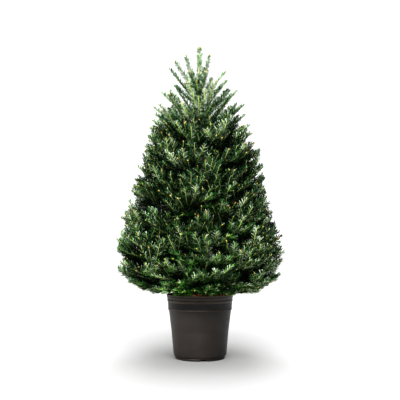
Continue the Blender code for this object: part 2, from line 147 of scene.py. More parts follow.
# Limbs, forks and shoots
LIMBS = 142
LIMBS_FROM = 0.31
INNER_LIMBS = 215
INNER_FROM = 0.29
INNER_OUT = 0.77
INNER_TO = 0.94
INNER_DEPTH = 0.038
LIMB_RADIUS = 0.0036
SHOOT_RADIUS = 0.0012
RISE_HEIGHTS = (0.25, 0.28, 0.32, 0.38, 0.50, 0.80, 1.00, 1.20)
RISE_DEGREES = (-8.0, 10.0, 42.0, 54.0, 58.0, 58.0, 58.0, 62.0)
LIFT_HEIGHTS = (0.28, 0.34, 0.50, 0.80)
LIFTS = (0.02, 0.24, 0.18, 0.06)
LATE_BEND = ((0.32, 0.55), (0.28, 0.50))
OPENING = 36.0
HEADING_SPREAD = 0.32
RISE_SPREAD = 0.17
SKIRT_LIMBS = 40
NODE_STEP = 0.092
FORK_STEP = 0.085
SHORTEST_SHOOT = 0.035
THIS_YEAR = 0.095
PROUD = 0.022
PROUD_FROM = 0.70
PROUD_TO = 1.05
SKIRT_DEPTH = 0.06
SKIRT_TOP = 0.33
OLD_DEPTH = 0.045
WHORLS_FROM = 0.98
WHORL_STEP = 0.120
SINGLE_FROM = 1.07
WHOLE_LENGTH = 0.30
OPEN_RADIUS = 0.25
OPEN_HEIGHT = 0.264
FRONT_OPEN = 0.012

# Limbs round the trunk below the leader: height on the trunk, number, first turn, rise and length
UPPER_WHORLS = (
    (1.055, 8, 0.0, 44.0, 0.130),
    (1.000, 8, 20.0, 46.0, 0.185),
    (0.930, 10, 5.0, 44.0, 0.220),
    (0.865, 12, 10.0, 42.0, 0.250),
    (0.800, 13, 0.0, 40.0, 0.272),
)

# Single limbs that make the spiky outline at both sides: height on the trunk, turn, rise and length
SIDE_LIMBS = (
    (1.070, 183.0, 48.0, 0.186),
    (0.985, 176.0, 38.0, 0.206),
    (0.900, 184.0, 37.0, 0.240),
    (0.780, 178.0, 34.0, 0.262),
    (1.090, 4.0, 45.0, 0.158),
    (1.030, 358.0, 48.0, 0.172),
    (1.000, 6.0, 43.0, 0.180),
    (0.960, 355.0, 44.0, 0.222),
    (0.900, 3.0, 40.0, 0.248),
    (0.820, 357.0, 35.0, 0.256),
)

# Leader and the whorl at its foot: turn about the trunk, rise and length of each shoot
LEADER_LENGTH = CROWN_TOP - TRUNK_TIP + 0.008
WHORL_BELOW = 0.040
WHORL = (
    (180.0, 71.0, 0.176),
    (186.0, 54.0, 0.172),
    (0.0, 76.0, 0.172),
    (268.0, 62.0, 0.090),
    (290.0, 44.0, 0.110),
    (245.0, 38.0, 0.120),
    (75.0, 60.0, 0.150),
    (110.0, 52.0, 0.150),
)

# Needles
NEEDLE_LENGTH = 0.0220
NEEDLE_WIDTH = 0.0035
SPIKY_FROM = 1.00
TONE_STEPS = (-4, -2, -1, 0, 0, 0, 1, 1, 2)
SPIKE_STEPS = (-3, -2, -1, 0, 0, 0, 1, 1, 1)
# Shade numbers by height share on the tree, which paint light: lighter at the skirt and the top to lift them out of
# shade, darker through the middle
TONE_HEIGHTS = (0.0, 0.15, 0.50, 0.65, 0.80, 1.0)
TONES = (3.4, 2.05, 1.7, 2.5, 3.6, 3.5)
PARTING = 0.66
SIDEWAYS = 0.62

# How each kind of needle stands: number by metre, length and width as shares, opening in degrees and its spread
YOUNG = {"per_metre": 690.0, "stretch": 1.0, "widen": 1.0, "opening": 56.0, "ruffle": 6.0}
SPIKE = {"per_metre": 1080.0, "stretch": 0.88, "widen": 1.08, "opening": 60.0, "ruffle": 11.0}
LEADER = {"per_metre": 1500.0, "stretch": 0.86, "widen": 1.10, "opening": 62.0, "ruffle": 14.0}
OLD = {"per_metre": 370.0, "stretch": 1.5, "widen": 2.2, "opening": 56.0, "ruffle": 6.0}

# Buds
BUD_LENGTH = 0.0100
BUD_WIDTH = 0.0062
LEADER_BUD = 1.3


def unit(vectors):
    """Each row divided by its length."""
    return vectors / np.maximum(np.linalg.norm(vectors, axis=-1, keepdims=True), 1e-12)


def polar(radius, angle, z):
    """Points at a radius and an angle about the trunk's line, at height z."""
    radius, angle, z = np.broadcast_arrays(radius, angle, z)
    return np.stack([radius * np.cos(angle), radius * np.sin(angle), z], axis=-1)


def ripple(u, v, rng, waves=9, finest=9.0):
    """Smooth noise near -1 to 1: a sum of sine waves of seeded direction and phase, weaker as they get finer."""
    total = np.zeros(np.broadcast(u, v).shape)
    weight = 0.0
    for i in range(waves):
        size = 1.0 + (finest - 1.0) * i / (waves - 1)
        turn, phase = rng.uniform(0.0, FULL_TURN, 2)
        total += np.sin(size * (u * math.cos(turn) + v * math.sin(turn)) + phase) / size**0.5
        weight += 1.0 / size
    return total / weight**0.5


# Meshes


def put_mesh(name, points, blocks, finishes, smooth=False):
    """A mesh object from points and blocks of faces. Each block is (corner indices by face, finish numbers)."""
    mesh = bpy.data.meshes.new(name)
    points = np.asarray(points, np.float32).reshape(-1, 3)
    corners = np.concatenate([np.asarray(faces, np.int32).reshape(-1) for faces, _ in blocks])
    sizes = np.concatenate([np.full(len(faces), faces.shape[1], np.int32) for faces, _ in blocks])
    numbers = np.concatenate([np.broadcast_to(number, len(faces)) for faces, number in blocks])
    starts = np.concatenate([[0], np.cumsum(sizes)[:-1]]).astype(np.int32)
    mesh.vertices.add(len(points))
    mesh.vertices.foreach_set("co", points.reshape(-1))
    mesh.loops.add(len(corners))
    mesh.loops.foreach_set("vertex_index", corners)
    mesh.polygons.add(len(sizes))
    mesh.polygons.foreach_set("loop_start", starts)
    mesh.polygons.foreach_set("loop_total", sizes)
    mesh.polygons.foreach_set("material_index", numbers.astype(np.int32))
    mesh.polygons.foreach_set("use_smooth", np.full(len(sizes), smooth))
    mesh.update(calc_edges=True)
    mesh.validate()
    for finish in finishes:
        mesh.materials.append(finish)
    piece = bpy.data.objects.new(name, mesh)
    bpy.context.scene.collection.objects.link(piece)
    return piece


def dress(piece, slot, *nodes):
    """The piece rides on the plant's one body and stands for some nodes. Its slot is not used."""
    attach(piece, "root")
    if nodes:
        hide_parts(*nodes)
    return piece


def ring_faces(rings, steps):
    """Quads between neighbouring rings of a turned grid, ring by ring, that close round each ring."""
    ring, step = np.meshgrid(np.arange(rings - 1), np.arange(steps), indexing="ij")
    after = (step + 1) % steps
    quads = np.stack([ring * steps + step, ring * steps + after, (ring + 1) * steps + after, (ring + 1) * steps + step])
    return quads.reshape(4, -1).T


# Crown shape, written again from the solids' rule


def crown_radius(z):
    """The tips' distance from the trunk: a power curve above the widest level, a flattened circle below it."""
    above = np.clip((CROWN_TOP - z) / (CROWN_TOP - WIDEST), 0.0, 1.0) ** CROWN_POWER
    below = np.clip((WIDEST - z) / (WIDEST - CROWN_FOOT), 0.0, 1.0) ** UNDER_POWER
    return CROWN_RADIUS * np.where(z >= WIDEST, above, np.sqrt(1.0 - below))


def crown_underside(r):
    """The height of the crown's underside at radius r, from the same flattened circle."""
    inside = np.clip(1.0 - (r / CROWN_RADIUS) ** 2, 0.0, 1.0)
    return WIDEST - (WIDEST - CROWN_FOOT) * inside ** (1.0 / UNDER_POWER)


def reach(z, angle):
    """The crown's radius with two gentle waves round it."""
    lumps = np.sin(3 * angle + 9 * z) + np.sin(5 * angle - 14 * z + 1.7)
    return crown_radius(z) * (1.0 + LUMP * 0.5 * lumps)


def floor_of(tier, r):
    """The height of the slanting cone under a tier, or the crown's underside and the pot's rim for the first."""
    if tier > 0:
        return roof_of(tier - 1, r)
    over_pot = np.where(r < LIP_RADIUS + OVER_POT, POT_HEIGHT + OVER_POT, 0.0)
    return np.maximum(over_pot, crown_underside(r))


def roof_of(tier, r):
    """The height of the slanting cone over a tier."""
    height, slope = ROOFS[tier]
    return height + r * math.tan(math.radians(slope))


def outer(tier, share, angle):
    """The crown's radius along the slanting line that runs a share of the way from a tier's floor to its roof."""
    r = np.full(np.broadcast(share, angle).shape, CROWN_RADIUS)
    for _ in range(12):
        z = floor_of(tier, r) + (roof_of(tier, r) - floor_of(tier, r)) * share
        r = 0.5 * (r + reach(z, angle))
    return r


def in_crown(points, slack):
    """Whether points lie under the crown's surface, above its underside and clear of the pot's rim."""
    r = np.hypot(points[..., 0], points[..., 1])
    z = points[..., 2]
    angle = np.arctan2(points[..., 1], points[..., 0])
    front = np.clip(-np.sin(angle - 0.4), 0.0, 1.0)
    over_rim = (r > OPEN_RADIUS) | (z > OPEN_HEIGHT + FRONT_OPEN * front)
    return (r < reach(z, angle) + slack) & (z > floor_of(0, r) - slack) & (z < CROWN_TOP) & over_rim


def trunk_centre(z):
    """The trunk's line: a sway of a few millimetres each way that is nothing at the foot."""
    up = (z - TRUNK_FOOT) / (TRUNK_TIP - TRUNK_FOOT)
    sway = np.stack([-np.sin(2.6 * up) * up, np.sin(4.1 * up) * up], axis=-1) * TRUNK_SWAY
    return np.concatenate([sway, np.asarray(z)[..., None]], axis=-1)


def trunk_radius(z, angle):
    """An even taper with a lobed flare that dies away above the foot."""
    up = (z - TRUNK_FOOT) / (TRUNK_TIP - TRUNK_FOOT)
    taper = TRUNK_BASE_RADIUS + (TRUNK_TIP_RADIUS - TRUNK_BASE_RADIUS) * up
    flare = FLARE_WIDTH * np.exp(-(z - TRUNK_FOOT) / FLARE_FALL)
    return taper + flare * (1.0 + 0.3 * np.cos(FLARE_LOBES * angle))


def mass_angle(tier, sector):
    return FULL_TURN * sector / SECTORS[tier] + math.radians(TURN_DEG * tier - 90.0)


def bough_path(tier, angle, share):
    """Points along a bough's centre line, from the trunk's line out to the foliage, with a slight sag."""
    share = np.asarray(share, float)
    r = BOUGH_REACH * outer(tier, 0.5, angle) * share
    z = 0.5 * (floor_of(tier, r) + roof_of(tier, r)) - BOUGH_SAG * np.sin(math.pi * share)
    path = polar(r, angle, z)
    path[:, :2] += trunk_centre(z)[:, :2] * (1.0 - share)[:, None]
    return path


# Growth. An axis is a curve start + along * t + bend * t * t for t from 0 to 1, one row of three arrays.


class Axes:
    """Rows of curved axes, each with the number of the mass that it belongs to."""

    def __init__(self, start, along, bend, mass):
        self.start, self.along, self.bend = (np.atleast_2d(a).astype(float) for a in (start, along, bend))
        self.mass = np.broadcast_to(mass, len(self.start)).astype(int)

    def at(self, t):
        return self.start + self.along * t[:, None] + self.bend * (t * t)[:, None]

    def heading(self, t):
        return unit(self.along + 2.0 * self.bend * t[:, None])

    def length(self):
        return np.linalg.norm(self.along + self.bend, axis=1)

    def rows(self, chosen):
        return Axes(self.start[chosen], self.along[chosen], self.bend[chosen], self.mass[chosen])

    def cut_back(self, slack):
        """Every axis shortened until its tip lies in the crown, without those that get too short."""
        shares = np.linspace(1.0, 0.2, 17)
        tips = (
            self.start[:, None]
            + self.along[:, None] * shares[None, :, None]
            + self.bend[:, None] * (shares**2)[None, :, None]
        )
        fits = in_crown(tips, slack[:, None])
        share = shares[np.argmax(fits, axis=1)]
        cut = Axes(self.start, self.along * share[:, None], self.bend * (share**2)[:, None], self.mass)
        return cut.rows(fits.any(axis=1) & (cut.length() > SHORTEST_SHOOT))


def together(groups):
    """Several groups of axes as one."""
    return Axes(*(np.concatenate([getattr(g, part) for g in groups]) for part in ("start", "along", "bend", "mass")))


def rise_at(z):
    """How steeply shoots stand at a height, in radians: drooping at the skirt and steep at the top."""
    return np.radians(np.interp(z, RISE_HEIGHTS, RISE_DEGREES))


def limb_axes(origin, tip, rng, mass):
    """Limbs that leave the origin and bend so that each arrives at its tip along the shoots' slope there.

    The lowest bend late, so that they don't dip below the crown.
    """
    count = len(tip)
    angle = np.arctan2(tip[:, 1], tip[:, 0]) + rng.normal(0.0, HEADING_SPREAD, count)
    rise = rise_at(tip[:, 2]) + rng.normal(0.0, RISE_SPREAD, count)
    arrive = polar(np.cos(rise), angle, np.sin(rise))
    far = np.linalg.norm(tip - origin, axis=1) * np.interp(tip[:, 2], *LATE_BEND)
    middle = tip - arrive * far[:, None]
    return Axes(origin, 2.0 * (middle - origin), origin - 2.0 * middle + tip, mass)


def spiral_limbs(rng, numbers, count, lowest, highest, out):
    """Limbs with tips spread evenly by a golden spiral, over the crown's surface or a share of the way out to it.

    Each grows from the end of the bough of the mass that its tip lies in, or from the trunk in the upper tiers.
    """
    levels = np.linspace(lowest, highest, 200)
    radii = crown_radius(levels)
    below = np.cumsum(radii * np.hypot(np.gradient(radii), np.gradient(levels)))
    z = np.interp((np.arange(count) + 0.5) / count, below / below[-1], levels) + rng.normal(0.0, 0.012, count)
    angle = GOLDEN_ANGLE * np.arange(count) + rng.normal(0.0, 0.05, count)
    r = out * reach(z, angle) - rng.uniform(-0.006, 0.014, count)
    tier = sum((z > roof_of(t, r)).astype(int) for t in range(len(SECTORS) - 1))
    sectors = np.array(SECTORS)[tier]
    first = np.array([mass_angle(t, 0) for t in range(len(SECTORS))])[tier]
    number = numbers[tier] + np.round((angle - first) * sectors / FULL_TURN).astype(int) % sectors
    ends = [bough_path(t, mass_angle(t, s), [1.0])[0] for t in range(BOUGH_TIERS) for s in range(SECTORS[t])]
    end = np.array(ends)[np.minimum(number, len(ends) - 1)]
    origin = np.where((tier < BOUGH_TIERS)[:, None], end, trunk_centre(z - r))
    return limb_axes(origin, polar(r, angle, z), rng, number)


def skirt_limbs(rng, numbers):
    """Short limbs that close the crown's underside round the pot."""
    angle = FULL_TURN * np.arange(SKIRT_LIMBS) / SKIRT_LIMBS + rng.uniform(-0.1, 0.1, SKIRT_LIMBS)
    r = rng.uniform(0.14, 0.31, SKIRT_LIMBS)
    tip = polar(r, angle, crown_underside(r) + rng.uniform(-0.014, 0.024, SKIRT_LIMBS))
    origin = polar(0.06, angle, 0.5 * (floor_of(0, 0.06) + roof_of(0, 0.06)) + 0.01)
    sector = np.round((angle - mass_angle(0, 0)) / (FULL_TURN / SECTORS[0])).astype(int) % SECTORS[0]
    return limb_axes(origin, tip, rng, numbers[0] + sector)


def whorl_limbs(rng, numbers):
    """Steep limbs in rings round the trunk just below the leader, which make the crown's spiky top."""
    groups = []
    for height, count, first, rise, length in UPPER_WHORLS:
        turn = np.radians(first + 360.0 * np.arange(count) / count + rng.normal(0.0, 7.0, count))
        steep = np.radians(rise + rng.normal(0.0, 6.0, count))
        way = polar(np.cos(steep), turn, np.sin(steep)) * (length * rng.uniform(0.88, 1.1, count))[:, None]
        lift = np.tile((0.0, 0.0, 0.012), (count, 1))
        sector = np.round((turn - mass_angle(5, 0)) / (FULL_TURN / SECTORS[5])).astype(int) % SECTORS[5]
        start = np.tile(trunk_centre(np.array(height)), (count, 1))
        ring = Axes(start, way, lift, numbers[5] + sector)
        groups.append(ring.cut_back(rng.normal(0.006, 0.008, count)))
    height, turn, rise, length = np.array(SIDE_LIMBS).T
    way = polar(np.cos(np.radians(rise)), np.radians(turn), np.sin(np.radians(rise))) * length[:, None]
    sector = np.round((np.radians(turn) - mass_angle(5, 0)) / (FULL_TURN / SECTORS[5])).astype(int) % SECTORS[5]
    groups.append(Axes(trunk_centre(height), way, np.tile((0.0, 0.0, 0.012), (len(turn), 1)), numbers[5] + sector))
    return together(groups)


def side_shoots(parents, step, most, opening_deg, share, extra, upper_chance, slack, rng):
    """Pairs of side shoots, and some on the upper side, at equal steps back from every parent's tip.

    A side shoot's length is a share of its distance from the parent's tip plus a little, as on a flat fir frond.
    """
    groups = []
    length = parents.length()
    for node in range(1, most + 1):
        for kind in (1.0, -1.0, 0.0):
            back = step * node * rng.uniform(0.88, 1.12, len(length))
            chosen = back < 0.86 * length
            if kind == 0.0:
                chosen &= rng.random(len(length)) < upper_chance
            row = parents.rows(chosen)
            back = back[chosen]
            t = 1.0 - back / length[chosen]
            way = row.heading(t)
            side = unit(np.cross(way, (0.0, 0.0, 1.0)))
            up = np.cross(side, way)
            roll = rng.normal(0.0, 0.30, len(t))[:, None]
            across = side * kind if kind else up
            across = unit(across * np.cos(roll) + (up if kind else side) * np.sin(roll))
            opening = np.radians(opening_deg + rng.normal(0.0, 6.0, len(t)))[:, None]
            shoot = way * np.cos(opening) + across * np.sin(opening)
            far = ((share * back + extra) * rng.uniform(0.85, 1.12, len(t)))[:, None]
            foot = row.at(t)
            lift = way * 0.16 + np.interp(foot[:, 2], LIFT_HEIGHTS, LIFTS)[:, None] * np.array((0.0, 0.0, 1.0))
            groups.append(Axes(foot, shoot * far, lift * far, row.mass))
    shoots = together(groups)
    return shoots.cut_back(rng.normal(0.0, slack, len(shoots.start)))


def leader_axes(number):
    """The leader and the whorl of steep shoots round its foot."""
    foot = trunk_centre(np.array([TRUNK_TIP - 0.004] + [TRUNK_TIP - WHORL_BELOW] * len(WHORL)))
    turn, rise, length = np.array(WHORL).T
    way = polar(np.cos(np.radians(rise)), np.radians(turn), np.sin(np.radians(rise)))
    along = np.vstack([[0.0, 0.0, LEADER_LENGTH - BUD_LENGTH], way * length[:, None]])
    bend = np.vstack([[0.0, 0.0, 0.0], np.tile((0.0, 0.0, 0.010), (len(WHORL), 1))])
    return Axes(foot, along, bend, number)


# Bark, needles and buds


def frames_at(axes, t):
    """Tangent, upper side and cross direction at one place on every axis."""
    way = axes.heading(t)
    side = np.cross(way, (0.0, 0.0, 1.0))
    flat = np.linalg.norm(side, axis=1) < 0.05
    side[flat] = (1.0, 0.0, 0.0)
    side = unit(side - way * (side * way).sum(axis=1, keepdims=True))
    return way, np.cross(side, way), side


def tube_points(axes, first, last, first_radius, last_radius, rings, sides):
    """Rings of points round a stretch of every axis, with radii that fall evenly from its foot to its tip."""
    turn = FULL_TURN * np.arange(sides) / sides
    points = []
    for i in range(rings):
        share = i / (rings - 1)
        t = first + (last - first) * share
        _, up, side = frames_at(axes, t)
        radius = (first_radius + (last_radius - first_radius) * share)[:, None, None]
        ring = up[:, None] * np.cos(turn)[None, :, None] + side[:, None] * np.sin(turn)[None, :, None]
        points.append(axes.at(t)[:, None] + radius * ring)
    return np.stack(points, axis=1)


def tubes(name, groups, finishes):
    """Many closed tapering twigs as one mesh.

    A group is (axes, first and last place on them, foot radii, tip radii, rings, sides, finish).
    """
    points, blocks, used = [], [], 0
    for axes, first, last, first_radius, last_radius, rings, sides, finish in groups:
        grid = tube_points(axes, first, last, first_radius, last_radius, rings, sides)
        base = used + np.arange(len(grid))[:, None, None] * rings * sides
        walls = (base + ring_faces(rings, sides)[None]).reshape(-1, 4)
        foot = (base[:, 0] + np.arange(sides)[None, ::-1]).reshape(-1, sides)
        tip = (base[:, 0] + (rings - 1) * sides + np.arange(sides)[None]).reshape(-1, sides)
        shade = np.broadcast_to(finish, len(grid))
        walls_shade = np.repeat(shade, (rings - 1) * sides)
        blocks += [(walls[:, ::-1], walls_shade), (foot[:, ::-1], shade), (tip[:, ::-1], shade)]
        points.append(grid.reshape(-1, 3))
        used += grid.size // 3
    return put_mesh(name, np.concatenate(points), blocks, finishes, smooth=True)


def whole_tube(axes, foot_radius, rings, sides, finish):
    """A group for tubes() that runs the whole length of every axis."""
    blank = np.zeros(len(axes.start))
    return axes, blank, blank + 1.0, blank + foot_radius, blank + SHOOT_RADIUS, rings, sides, finish


def needle_rows(axes, tone, near, far, parting, rng, style):
    """Places and directions of the needles between two distances back from every axis's tip.

    Needles follow a golden spiral round the twig. Their angle is squeezed towards the upper side, which parts them
    below, and they lean forward more towards the tip. A few in each spray take the next shade up or down.
    """
    length = axes.length()
    first = np.clip(1.0 - far / length, 0.0, 1.0)
    last = np.clip(1.0 - near / length, 0.0, 1.0)
    count = np.round((last - first) * length * style["per_metre"]).astype(int)
    row = np.repeat(np.arange(len(length)), count)
    step = np.arange(count.sum()) - np.repeat(np.cumsum(count) - count, count)
    share = (step + rng.uniform(0.2, 0.8, len(step))) / np.maximum(count[row], 1)
    t = first[row] + (last - first)[row] * share
    to_tip = (1.0 - t) * length[row]
    picked = axes.rows(row)
    way, up, side = frames_at(picked, t)
    turn = (GOLDEN_ANGLE * step + rng.uniform(0.0, FULL_TURN, len(length))[row]) % FULL_TURN - math.pi
    turn = np.sign(turn) * math.pi * np.abs(turn / math.pi) ** SIDEWAYS * parting[row]
    spread = rng.normal(0.0, style["ruffle"], len(t))
    opening = np.radians(style["opening"] - 30.0 * np.exp(-to_tip / 0.010) + spread)
    spoke = up * np.cos(turn)[:, None] + side * np.sin(turn)[:, None]
    needle = way * np.cos(opening)[:, None] + spoke * np.sin(opening)[:, None]
    face = way * 0.75 + up * 0.65 + rng.normal(0.0, 0.18, (len(t), 3))
    face = unit(face - needle * (face * needle).sum(axis=1, keepdims=True))
    size = style["stretch"] * NEEDLE_LENGTH * (0.80 + 0.20 * np.abs(np.sin(turn))) * rng.uniform(0.84, 1.10, len(t))
    size *= 0.62 + 0.38 * np.clip(to_tip / 0.012, 0.0, 1.0)
    return {
        "foot": picked.at(t) + spoke * SHOOT_RADIUS * 0.5,
        "way": needle,
        "face": face,
        "length": size,
        "width": style["widen"] * NEEDLE_WIDTH * rng.uniform(0.9, 1.1, len(t)),
        "mass": picked.mass,
        "tone": tone[row] + rng.choice(SPIKE_STEPS if style in (SPIKE, LEADER) else TONE_STEPS, len(t)),
        "old": np.full(len(t), style is OLD),
    }


def depth_of(points):
    """How far points lie below the crown's surface, from the side or from its underside, whichever is less."""
    r = np.hypot(points[:, 0], points[:, 1])
    side = reach(points[:, 2], np.arctan2(points[:, 1], points[:, 0])) - r
    return np.minimum(side, points[:, 2] - crown_underside(r))


def young_length(axes):
    """How far back from its tip each axis has fine needles: all of it at the underside and at the spiky top."""
    tip = axes.at(np.ones(len(axes.start)))
    lift = tip[:, 2] - crown_underside(np.hypot(tip[:, 0], tip[:, 1]))
    low = (lift < SKIRT_DEPTH) & (tip[:, 2] < SKIRT_TOP)
    return np.where(low | (tip[:, 2] > WHORLS_FROM), WHOLE_LENGTH, THIS_YEAR)


def old_needle_rows(axes, near, rng):
    """The dark needles of earlier years inside the crown, fewer and larger than life, so that no light gets through.
    Their near-black shades are partly the darker green of old needles and partly painted shade inside the crown.

    Those close to the crown's surface, which show from outside, are finer, and near the skirt a shade lighter: painted
    light that lifts them out of the crown's shade there.
    """
    # The darkest shade: partly the darker green of old needles, partly painted shade inside the crown
    dark = np.full(len(axes.start), -1)
    parting = np.ones(len(axes.start))
    rows = needle_rows(axes, dark, near, 0.4, parting, rng, OLD)
    shown = depth_of(rows["foot"]) < OLD_DEPTH
    rows["width"][shown] *= 0.50
    rows["length"][shown] *= 0.72
    # Painted light: shown old needles low on the crown take a shade lighter
    rows["tone"][shown & (rows["foot"][:, 2] < SKIRT_TOP)] += 1
    return rows


def merge_rows(groups):
    return {key: np.concatenate([g[key] for g in groups]) for key in groups[0]}


def needle_piece(name, rows, finishes, uppers):
    """The needles of some masses as one mesh: straps for the young ones and plainer slivers for the old ones.

    A strap has six triangles: a four-cornered upper face, and four lower faces that meet at a keel. Its corners are
    the foot and the tip, each moved half a width to both sides, and the keel is below the middle. A sliver has four:
    a foot, a tip and two corners below the middle.
    """
    points, blocks, used = [], [], 0
    for old in (False, True):
        picked = {key: value[rows["old"] == old] for key, value in rows.items()}
        foot, way, face = picked["foot"], picked["way"], picked["face"]
        side = np.cross(way, face) * picked["width"][:, None]
        tip = foot + way * picked["length"][:, None]
        below = foot + way * (0.45 * picked["length"])[:, None] - face * (0.30 * picked["width"])[:, None]
        if old:
            corners = [foot, tip, below + 0.5 * side, below - 0.5 * side]
            upper = np.array([[0, 2, 1], [0, 1, 3]])
            lower = np.array([[0, 3, 2], [1, 2, 3]])
        else:
            corners = [foot + 0.26 * side, foot - 0.26 * side, tip - 0.42 * side, tip + 0.42 * side, below]
            upper = np.array([[0, 3, 2], [0, 2, 1]])
            lower = np.array([[0, 1, 4], [1, 2, 4], [2, 3, 4], [3, 0, 4]])
        base = used + len(corners) * np.arange(len(foot))[:, None, None]
        tone = picked["tone"]
        blocks.append(((base + upper[None]).reshape(-1, 3), np.repeat(tone, len(upper))))
        blocks.append(((base + lower[None]).reshape(-1, 3), np.repeat(tone, len(lower)) + uppers))
        points.append(np.stack(corners, axis=1).reshape(-1, 3))
        used += len(corners) * len(foot)
    return put_mesh(name, np.concatenate(points), blocks, finishes)


def bud_piece(name, place, way, size, finishes, rng):
    """Pointed eight-sided buds: a square waist below the middle, drawn to a foot and a tip."""
    side = unit(np.cross(way, np.where(np.abs(way[:, 2:]) > 0.9, (1.0, 0.0, 0.0), (0.0, 0.0, 1.0))))
    up = np.cross(side, way)
    waist = place + way * (0.42 * BUD_LENGTH * size)[:, None]
    half = (0.5 * BUD_WIDTH * size)[:, None]
    corners = [waist + side * half, waist + up * half, waist - side * half, waist - up * half]
    points = np.stack([place, *corners, place + way * (BUD_LENGTH * size)[:, None]], axis=1)
    shape = np.array([[0, 2, 1], [0, 3, 2], [0, 4, 3], [0, 1, 4], [5, 1, 2], [5, 2, 3], [5, 3, 4], [5, 4, 1]])
    faces = (6 * np.arange(len(place))[:, None, None] + shape[None]).reshape(-1, 3)
    kind = np.repeat(rng.integers(0, len(finishes), len(place)), len(shape))
    return put_mesh(name, points, [(faces[:, ::-1], kind)], finishes, smooth=True)


# Pot and compost


def rounded(corners, steps=5):
    """An (r, z) outline through corners given as (r, z, fillet), each fillet a quadratic curve of a few points."""
    points = []
    for i, (r, z, fillet) in enumerate(corners):
        here = np.array((r, z))
        if fillet == 0.0 or i in (0, len(corners) - 1):
            points.append(here)
            continue
        ends = []
        for other in (corners[i - 1], corners[i + 1]):
            leg = np.array(other[:2]) - here
            size = np.linalg.norm(leg)
            ends.append(here + leg / size * min(fillet, 0.48 * size))
        for t in np.linspace(0.0, 1.0, steps):
            points.append((1 - t) ** 2 * ends[0] + 2 * t * (1 - t) * here + t * t * ends[1])
    return np.array(points)


def pot_outline():
    """The pot's outline from the middle of its underside, up the outside, over the lip and down inside."""
    bead = COLLAR_FOOT_RADIUS + BEAD_OUT
    ridge = POT_HEIGHT - RIDGE_BELOW_RIM
    slope = (COLLAR_TOP_RADIUS - COLLAR_FOOT_RADIUS) / (POT_HEIGHT - LIP_HEIGHT - BODY_TOP)
    at_ridge = COLLAR_FOOT_RADIUS + slope * (ridge - BODY_TOP)
    return rounded(
        [
            (0.0, 0.0, 0.0),
            (FOOT_RADIUS - SLOT_DEPTH, 0.0, 0.0),
            (FOOT_RADIUS - SLOT_DEPTH + 0.0002, 0.0, 0.0),
            (FOOT_RADIUS, 0.0, 0.0016),
            (FOOT_RADIUS + 0.0002, FOOT_HEIGHT - 0.0010, 0.0008),
            (FOOT_RADIUS - 0.0006, FOOT_HEIGHT, 0.0006),
            (BODY_FOOT_RADIUS - 0.0028, FOOT_HEIGHT + 0.0012, 0.0030),
            (BODY_FOOT_RADIUS + 0.0006, 1.7 * FOOT_HEIGHT, 0.0050),
            (BODY_TOP_RADIUS - 0.0004, BODY_TOP - SHADED_STRIP, 0.0),
            (BODY_TOP_RADIUS, BODY_TOP, 0.0006),
            (bead, BODY_TOP, 0.0009),
            (bead - 0.0002, BODY_TOP + 0.75 * BEAD_HEIGHT, 0.0014),
            (COLLAR_FOOT_RADIUS + 0.0001, BODY_TOP + BEAD_HEIGHT, 0.0008),
            (at_ridge - 0.0012, ridge - 0.0080, 0.0050),
            (at_ridge + RIDGE_OUT, ridge - 0.0012, 0.0022),
            (at_ridge + RIDGE_OUT, ridge + 0.0010, 0.0020),
            (at_ridge + 0.0006, ridge + 0.0052, 0.0036),
            (COLLAR_TOP_RADIUS + 0.0006, POT_HEIGHT - LIP_HEIGHT - 0.0044, 0.0036),
            (LIP_RADIUS, POT_HEIGHT - LIP_HEIGHT + 0.0060, 0.0030),
            (LIP_RADIUS, POT_HEIGHT, 0.0022),
            (LIP_RADIUS - 0.0045, POT_HEIGHT, 0.0016),
            (COLLAR_TOP_RADIUS - WALL, POT_HEIGHT - LIP_HEIGHT, 0.0020),
            (COLLAR_FOOT_RADIUS - WALL, BODY_TOP, 0.0020),
            (BODY_FOOT_RADIUS - WALL, 2 * FOOT_HEIGHT, 0.0080),
            (0.0, 2 * FOOT_HEIGHT, 0.0),
        ]
    )


